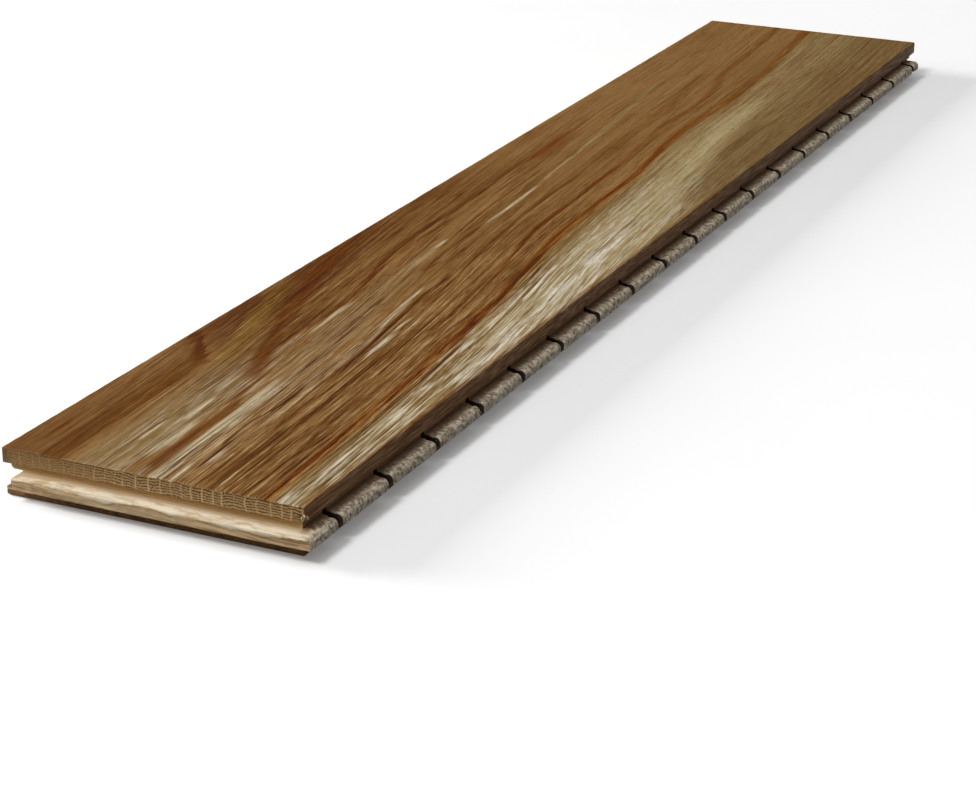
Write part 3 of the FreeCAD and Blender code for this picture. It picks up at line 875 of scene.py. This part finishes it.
def worked_copy(node, ease, cuts):
    """A mesh like one solid's, in mm, with its outer edges eased and its faces cut at the given X, Y and Z places."""
    work = bmesh.new()
    work.from_mesh(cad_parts[node].data)
    bmesh.ops.scale(work, vec=(1 / MM,) * 3, verts=work.verts)
    bmesh.ops.remove_doubles(work, verts=work.verts, dist=0.001)
    bmesh.ops.dissolve_limit(work, angle_limit=math.radians(1), verts=work.verts, edges=work.edges)
    arrises = [edge for edge in work.edges if edge.is_convex and edge.calc_face_angle() > math.radians(25)]
    bmesh.ops.bevel(work, geom=arrises, offset=ease, segments=2, profile=0.5, affect="EDGES", clamp_overlap=True)
    for axis, places in enumerate(cuts):
        across_axis = Vector([float(axis == number) for number in range(3)])
        for where in places:
            bmesh.ops.bisect_plane(work, geom=work.verts[:] + work.edges[:] + work.faces[:], dist=0.001,
                                   plane_co=across_axis * where, plane_no=across_axis)
    work.normal_update()
    return work


print("a stretch of 10 mm in steps of about 3 mm is cut at", [round(cut, 2) for cut in even_places(0, 10, 3)])

# %% [markdown]
# A worked mesh then becomes a piece in metres. It takes the place of its solid, rides on the board, and gets the slot
# of its wood. Smooth shading with sharp edges above 35 degrees keeps flat faces flat and eased edges round.

# %% A piece in its place
SHARP = math.radians(35)


def set_in_place(work, node, material, name=None):
    """Makes the worked mesh a piece, in metres, that stands for its solid, if it has one, and takes its slot's wood."""
    bmesh.ops.scale(work, vec=(MM,) * 3, verts=work.verts)
    name = name or "worked_" + node
    mesh = bpy.data.meshes.new(name)
    work.to_mesh(mesh)
    work.free()
    for face in mesh.polygons:
        face.use_smooth = True
    mesh.set_sharp_from_angle(angle=SHARP)
    mesh.materials.append(material)
    piece = bpy.data.objects.new(name, mesh)
    bpy.context.collection.objects.link(piece)
    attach(piece, "root")
    if node:
        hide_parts(node)
    print(piece.name, len(mesh.polygons), "faces")


print("edges sharper than", round(math.degrees(SHARP)), "degrees stay sharp")

# %% [markdown]
# The oak plate keeps its sizes. Its top arris is nibbled by tenths of a millimetre where the saw broke fibres out, and
# at the lower corner beside the two tongues a chip is gone. Both could be cut with more solids, but broken wood follows
# no cutter, so noise moves the mesh, which is cut finer near that corner.

# %% Oak plate
# In mm: how far in from its arris the plate is nibbled and how deep, and how far the chip reaches
ARRIS, NIBBLE = 0.8, 0.35
CHIP, CHIP_WAY = 3.6, Vector((-0.7, 0.7, 0.25))


def smooth(value):
    """0 to 1 as a value goes from 0 to 1, with soft ends."""
    value = max(0.0, min(1.0, value))
    return value * value * (3 - 2 * value)


chipped = Vector((oak_high.x, oak_low.y, oak_low.z))
cuts = (even_places(oak_low.x, oak_high.x, 2.0) + even_places(oak_high.x - 3, oak_high.x, 0.4),
        even_places(oak_low.y, oak_high.y, 4.0) + even_places(oak_low.y, oak_low.y + 3, 0.4),
        even_places(oak_low.z, oak_high.z, 0.6))
work = worked_copy("oak_wear_layer", 0.12, cuts)
for vert in work.verts:
    inward = min(vert.co.x - oak_low.x, oak_high.x - vert.co.x, vert.co.y - oak_low.y, oak_high.y - vert.co.y)
    on_arris = max(0.0, 1 - inward / ARRIS) * max(0.0, 1 - (oak_high.z - vert.co.z) / ARRIS)
    nibble = max(0.0, noise.noise(vert.co / 2.2) + 0.2 * noise.noise(vert.co / 0.7))
    lost = smooth(1.2 - (vert.co - chipped).length / CHIP) * (1.1 + 0.9 * noise.noise(vert.co / 0.9))
    vert.co -= vert.normal * NIBBLE * nibble * on_arris
    vert.co += CHIP_WAY * lost
set_in_place(work, "oak_wear_layer", oak)

# %% [markdown]
# A few fibres still hang at the chip. They could be hair curves, but a bent sliver with four sides shows the same and
# stays a plain mesh. Each is given by its foot and its tip, in mm from the corner, and by how far it bows out.

# %% Splinters at the chip
SPLINTERS = (
    ((-0.2, 0.1, 3.4), (0.4, -0.4, 1.5), (0.3, -0.3, 0.2)),
    ((-0.1, 1.0, 2.8), (0.7, 0.5, 0.8), (0.4, 0.1, 0.3)),
    ((-1.2, 0.0, 2.4), (-0.7, -0.6, 0.5), (0.1, -0.3, 0.1)),
    ((-0.2, 2.0, 2.2), (0.5, 2.3, 0.6), (0.3, 0.0, 0.2)),
)
STEPS = 6
work = bmesh.new()
for foot, tip, bow in SPLINTERS:
    rings = []
    for number in range(STEPS + 1):
        along = number / STEPS
        middle = chipped + Vector(foot).lerp(Vector(tip), along) + Vector(bow) * math.sin(math.pi * along)
        wide, thick = 0.17 * (1.1 - along), 0.10 * (1.1 - along)
        rings.append([work.verts.new(middle + Vector(step)) for step in
                      ((wide, wide, 0), (-thick, thick, 0.05), (-wide, -wide, 0), (thick, -thick, 0.05))])
    for lower, upper in zip(rings, rings[1:]):
        for number in range(4):
            work.faces.new((lower[number], lower[number - 1], upper[number - 1], upper[number]))
    work.faces.new(rings[0])
    work.faces.new(rings[-1][::-1])
bmesh.ops.recalc_face_normals(work, faces=work.faces)
set_in_place(work, None, fibre, "corner_splinters")

# %% [markdown]
# The slats are narrow boards laid across, so their ends make the side tongue. Milling has rounded each nose towards the
# slots beside it, like the end of a loaf, and left it rough. The near slat carries the end tongue along its length, and
# its front stands back below the torn edge. An even grid would be too heavy, so it is fine only where it shows.

# %% Slats
# In mm: how a nose rounds towards its slots, where its middle lies, where fine cuts start, and a far-off slot for none
NOSE_ROUND = 1.7
NOSE_MIDDLE_X, NOSE_MIDDLE_Z = 66.0, 8.0
FINE_FROM = 62
NO_SLOT = 99
edge_curve = torn_edge.node.mapping
for node in slat_nodes + ["tongue_end_slat", "groove_end_slat"]:
    low, high = (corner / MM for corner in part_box(node))
    is_near, is_far = node == "tongue_end_slat", node == "groove_end_slat"
    along_slat = even_places(low.x, FINE_FROM, 9.0) + even_places(FINE_FROM - 1, high.x, 0.6)
    if is_near:
        along_slat = even_places(low.x, high.x, 0.8)
    cuts = (along_slat, even_places(low.y, high.y, 0.6), even_places(low.z, high.z, 0.4 if is_near else 0.8))
    work = worked_copy(node, 0.15 if is_near else 0.35, cuts)
    for vert in work.verts:
        past_oak = smooth((vert.co.x - oak_high.x + 0.5) / 2.0)
        if vert.co.y < oak_low.y and vert.normal.y < -0.2:
            height = TORN_HEIGHT * edge_curve.evaluate(edge_curve.curves[0], (vert.co.x - oak_low.x) / TORN_LENGTH)
            height += 0.5 * noise.noise(vert.co / 1.6)
            vert.co.y += smooth((height - vert.co.z) / 0.9) * (0.28 + 0.2 * noise.noise(vert.co / 2.5))
        to_slot = min(NO_SLOT if is_near else vert.co.y - low.y, NO_SLOT if is_far else high.y - vert.co.y)
        bend = max(0.0, NOSE_ROUND - to_slot)
        inset = 0.75 * (NOSE_ROUND - math.sqrt(NOSE_ROUND ** 2 - min(bend, NOSE_ROUND) ** 2))
        outward = Vector((vert.co.x - NOSE_MIDDLE_X, 0, vert.co.z - NOSE_MIDDLE_Z)).normalized()
        torn_out = min(0.0, 0.12 * noise.noise(vert.co / 0.9) + 0.16 * noise.noise(vert.co / 2.6) - 0.16)
        vert.co += past_oak * (vert.normal * torn_out - outward * inset)
    set_in_place(work, node, spruce)

# %% [markdown]
# The back is one thin layer under the slats. A knife and a cutter leave it flat, so only its edges are eased.

# %% Back layer
back_low, back_high = (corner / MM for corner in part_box("back_layer"))
work = worked_copy("back_layer", 0.2, [even_places(back_low[axis], back_high[axis], step)
                                       for axis, step in enumerate((3.0, 6.0, 1.2))])
set_in_place(work, "back_layer", veneer)
